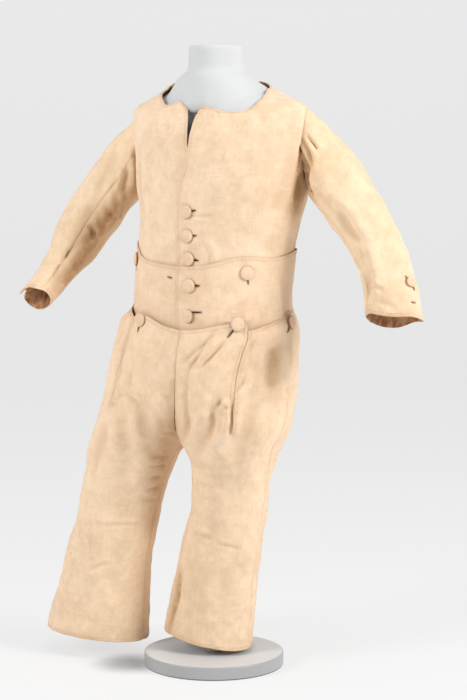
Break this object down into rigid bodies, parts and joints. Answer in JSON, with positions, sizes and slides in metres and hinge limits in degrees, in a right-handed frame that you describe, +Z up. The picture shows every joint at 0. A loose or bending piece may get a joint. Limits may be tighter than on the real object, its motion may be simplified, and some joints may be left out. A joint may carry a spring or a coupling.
{
  "type": "skeleton suit, a child's jacket and trousers, on a limbless dress form with a pole and disc base",
  "caption": "Small boy's historic skeleton suit in tan cotton: buttoned jacket, waistband and high fall-front trousers, hanging hollow on a limbless dress form with a round base.",
  "frame": {"origin": "centre of the underside of the base disc", "axes": "+Z up, -Y is the way the wearer faces, +X is the wearer's left"},
  "size_m": [0.5414, 0.2002, 0.807],
  "materials": {
    "cloth": "plain woven tan cotton, matt",
    "covered_button": "the suit's cotton drawn over a domed mould",
    "form": "pale grey jersey drawn smooth over a padded form",
    "base": "pale grey powder coat, satin"
  },
  "bodies": {
    "root": {"jacket_front_left": "cloth", "jacket_front_right": "cloth", "jacket_back": "cloth", "sleeve_left_upper": "cloth", "sleeve_left_under": "cloth", "sleeve_right_upper": "cloth", "sleeve_right_under": "cloth", "waistband_left": "cloth", "waistband_right": "cloth", "trouser_front_left": "cloth", "trouser_front_right": "cloth", "trouser_back_left": "cloth", "trouser_back_right": "cloth", "button_front_1": "covered_button", "button_front_2": "covered_button", "button_front_3": "covered_button", "button_front_4": "covered_button", "button_front_5": "covered_button", "button_waistband_left": "covered_button", "button_waistband_right": "covered_button", "button_fall_left": "covered_button", "button_fall_right": "covered_button", "button_side_left": "covered_button", "button_side_right": "covered_button", "button_back_left": "covered_button", "button_back_right": "covered_button", "button_cuff_left": "covered_button", "form_torso": "form", "form_pole": "base", "base_disc": "base"}
  },
  "joints": []
}
